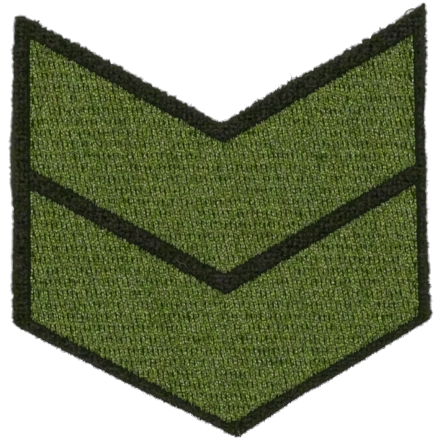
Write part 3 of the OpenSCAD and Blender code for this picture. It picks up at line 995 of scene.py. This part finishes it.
def grainOn(tree, scales):  # the three grains at these scales, on the piece's own coordinates
    coords = nodeOn(tree, "ShaderNodeTexCoord").outputs["Object"]
    node = nodeOn(tree, "ShaderNodeGroup", coords, *scales, node_tree=grainGroup)
    return {size.lower(): node.outputs[size] for size in ("Fine", "Coarse", "Broad")}


# Each look: scales of the fine, coarse and broad grain; base and tones, which add up to a place on
# the ramp of colours; coats, painted over it by an attribute; and tints, channel by channel

clothLook = {
    "roughness": 0.95,
    "scales": (2300, 620, 330),  # the finest are blotches of about 0.4 mm
    "base": 0.5,
    "tones": (("fine", 0.50), ("coarse", 0.08), ("paintedLightAndTone", 0.3)),
    "colours": ((0.0014, 0.0021, 0.0005), (0.0086, 0.0100, 0.0046), (0.0235, 0.0258, 0.0158)),
    "coats": (("rubbed", 0.75, (0.0330, 0.0360, 0.0210)),
              ("stitchShade", 0.75, (0.0068, 0.0112, 0.0028))),
    "tints": (("warmth", (0.12, -0.02, -0.12)),
              ("coarse", (0.12, 0.0, -0.12)),    # towards brown
              ("broad", (0.13, 0.0, 0.45))),     # towards violet grey, and back towards green
}
fibreLook = {
    **clothLook,
    "tones": clothLook["tones"][:2],
    "colours": (clothLook["colours"][0], (0.0145, 0.0165, 0.0085), (0.028, 0.031, 0.018)),
    "coats": (),
    "tints": clothLook["tints"][1:],
}
threadLook = {
    "roughness": 0.7,
    "scales": (3500, 300, 560),
    "base": -0.042,
    # Fine grain: uneven fibre density with painted glints; the per-point tone holds painted highlights
    # and shade over a random tone
    "tones": (("fine", 0.34), ("paintedLightAndTone", 1.0)),
    # Ramp from painted shade in the hollows, through the thread's green, to a pale painted highlight on
    # the crowns
    "colours": ((0.0135, 0.0235, 0.0003), (0.104, 0.137, 0.0340), (0.278, 0.320, 0.1680)),
    "coats": (),
    "tints": (("coarse", (0.10, 0.01, -0.10)),
              ("broad", (0.06, -0.05, 0.38)),    # towards grey, and back towards a fuller green
              ("greyness", (0.06, 0.0, 0.45))),  # the borders are greyer
}
plainLook = {
    "roughness": 0.8,
    "scales": (1500, 300, 300),
    "base": 0.5,
    "tones": (("fine", 0.4),),
    "coats": (),
    "tints": (("coarse", (0.08, 0.0, -0.1)),),
}


def fibreMaterialFrom(name, look, colours=None):
    # Base colour: ramp(base + sum of share * source), then the coats, then the tints
    material, tree, shader = newMaterial(name, look["roughness"])
    grain = grainOn(tree, look["scales"])

    def strength(source):
        if source in grain:
            return grain[source]
        return nodeOn(tree, "ShaderNodeAttribute", attribute_name=source).outputs["Fac"]

    value = look["base"]
    for source, share in look["tones"]:
        value = mathOn(tree, "MULTIPLY_ADD", strength(source), share, value)
    colour = rampOn(tree, value, colours or look["colours"])
    for source, share, coat in look["coats"]:
        colour = coatOn(tree, mathOn(tree, "MULTIPLY", strength(source), share), colour, coat)
    for source, tint in look["tints"]:
        colour = tintOn(tree, colour, strength(source), tint)
    tree.links.new(colour, shader.inputs["Base Color"])
    return material


clothMaterial = fibreMaterialFrom("napped ground cloth", clothLook)
fibreMaterial = fibreMaterialFrom("loose cloth fibres", fibreLook)
threadMaterial = fibreMaterialFrom("olive embroidery thread", threadLook)
# The foundation's near-black green is painted shade for the depth of the needle slits, over green
# foundation thread
underShadeMaterial = fibreMaterialFrom("foundation thread", plainLook,
                                  [(0.006, 0.013, 0.0002), (0.014, 0.026, 0.0005)])
bobbinMaterial = fibreMaterialFrom("bobbin thread", plainLook,
                                   [(0.05, 0.055, 0.03), (0.12, 0.13, 0.08)])
strayMaterial = fibreMaterialFrom("stray thread", plainLook,
                                  [(0.045, 0.050, 0.032), (0.105, 0.112, 0.075)])
print("materials built")


# Building

drawingMiddle = np.zeros(3)
clothX, clothY, _, _ = clothGrid({**groundCloth, "cell": 0.5}, steps=0.0)
drawingMiddle[:2] = [(clothX.min() + clothX.max()) / 2, (clothY.min() + clothY.max()) / 2]
print("drawing middle", drawingMiddle.round(3))

cloth, clothEdge, edgeOutward, napPoints = makeCloth(groundCloth, clothMaterial)
print("ground cloth", len(cloth.data.polygons), "faces")
clothPieces = [
    makeEdgeFuzz("cutEdgeFuzz", looseFibres, clothEdge, edgeOutward, 3, fibreMaterial),
    makeEdgeFuzz("cutEdgeDown", looseFibres, clothEdge, edgeOutward, 8, fibreMaterial),
    makeEdgeFibres(looseFibres, clothEdge, edgeOutward, fibreMaterial),
    makeNap(looseFibres, napPoints, fibreMaterial),
    *(makeStray(name, radius, through, strayMaterial) for name, radius, through in strayThreads),
]
print("loose fibres", sum(len(piece.data.polygons) for piece in clothPieces), "faces")

threadPieces = []
for chevron, (top, foot) in chevrons.items():
    stem = chevron + "Chevron"
    pieces = []
    for half, numbers in (("Left", (-60, 0)), ("Right", (0, 60))):
        pieces.append(makeYarns(f"{stem}{half}Yarns", chevronYarn, top, foot, numbers, threadMaterial))
        pieces.append(makeBorderRun(f"{stem}{half}Border", borderRun, chevronYarn, top, foot,
                                    half.lower() + "Fill", threadMaterial))
    pieces.append(makeBorderStitches(stem + "BorderStitches", borderStitches, top, foot, threadMaterial))
    pieces.append(makeUnderlay(stem + "Underlay", underlay, top, foot, underShadeMaterial))
    pieces.append(makeBobbinRows(stem + "BobbinRows", bobbinRows, top, foot, bobbinMaterial))
    threadPieces += [(piece, f"{chevron}_chevron") for piece in pieces]
    for piece in pieces:
        print(piece.name, len(piece.data.polygons), "faces")

for piece in (cloth, *clothPieces):
    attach(piece, "root")
    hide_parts("ground_cloth")
for piece, node in threadPieces:
    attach(piece, "root")
    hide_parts(node)


# Floor, light and camera

studio = {
    "frameWidth": 76.9,             # what the photograph's 440 pixels span on the patch's top, mm
    "aim": (-0.125, -0.019, 1.3),   # middle of the frame, mm
    "lens": 200,                    # focal length and sensor, mm
    "sensor": 36,
    "window": (-0.10, 0.16, 0.75),  # place of the soft light, m
    "windowSize": 0.22,
    "windowPower": 9.0,
    "roomLight": 0.35,
    "table": (0.92, 0.92, 0.92, 1),
    "tableDrop": 0.00002,           # gap under the patch, m
}


def placed(name, data, location):  # an object of these data in the scene, at a place in m
    thing = bpy.data.objects.new(name, data)
    thing.location = location
    bpy.context.scene.collection.objects.link(thing)
    return thing


floorData = bpy.data.meshes.new("floor")
floorData.from_pydata([(-3, -3, 0), (3, -3, 0), (3, 3, 0), (-3, 3, 0)], [], [(0, 1, 2, 3)])
floorMaterial, _, floorShader = newMaterial("pale table", 0.9, 0.5)
floorShader.inputs["Base Color"].default_value = studio["table"]
floorData.materials.append(floorMaterial)
floor = placed("floor", floorData, (0, 0, -studio["tableDrop"]))

world = bpy.data.worlds.new("soft room")
world.use_nodes = True
world.node_tree.nodes["Background"].inputs["Color"].default_value = (1, 1, 1, 1)
world.node_tree.nodes["Background"].inputs["Strength"].default_value = studio["roomLight"]
bpy.context.scene.world = world

lightData = bpy.data.lights.new("windowLight", "AREA")
lightData.shape = "DISK"
lightData.size = studio["windowSize"]
lightData.energy = studio["windowPower"]
light = placed("windowLight", lightData, studio["window"])
light.rotation_mode = "QUATERNION"
light.rotation_quaternion = (-light.location).to_track_quat("-Z", "Y")

cameraData = bpy.data.cameras.new("camera")
cameraData.lens, cameraData.sensor_width = studio["lens"], studio["sensor"]
cameraData.clip_start = 0.01
aimX, aimY, aimZ = studio["aim"]
distance = studio["frameWidth"] * cameraData.lens / cameraData.sensor_width
camera = placed("camera", cameraData, (aimX * mm, aimY * mm, (aimZ + distance) * mm))
bpy.context.scene.camera = camera
bpy.context.scene.view_settings.view_transform = "Standard"
print("floor, light and camera placed")
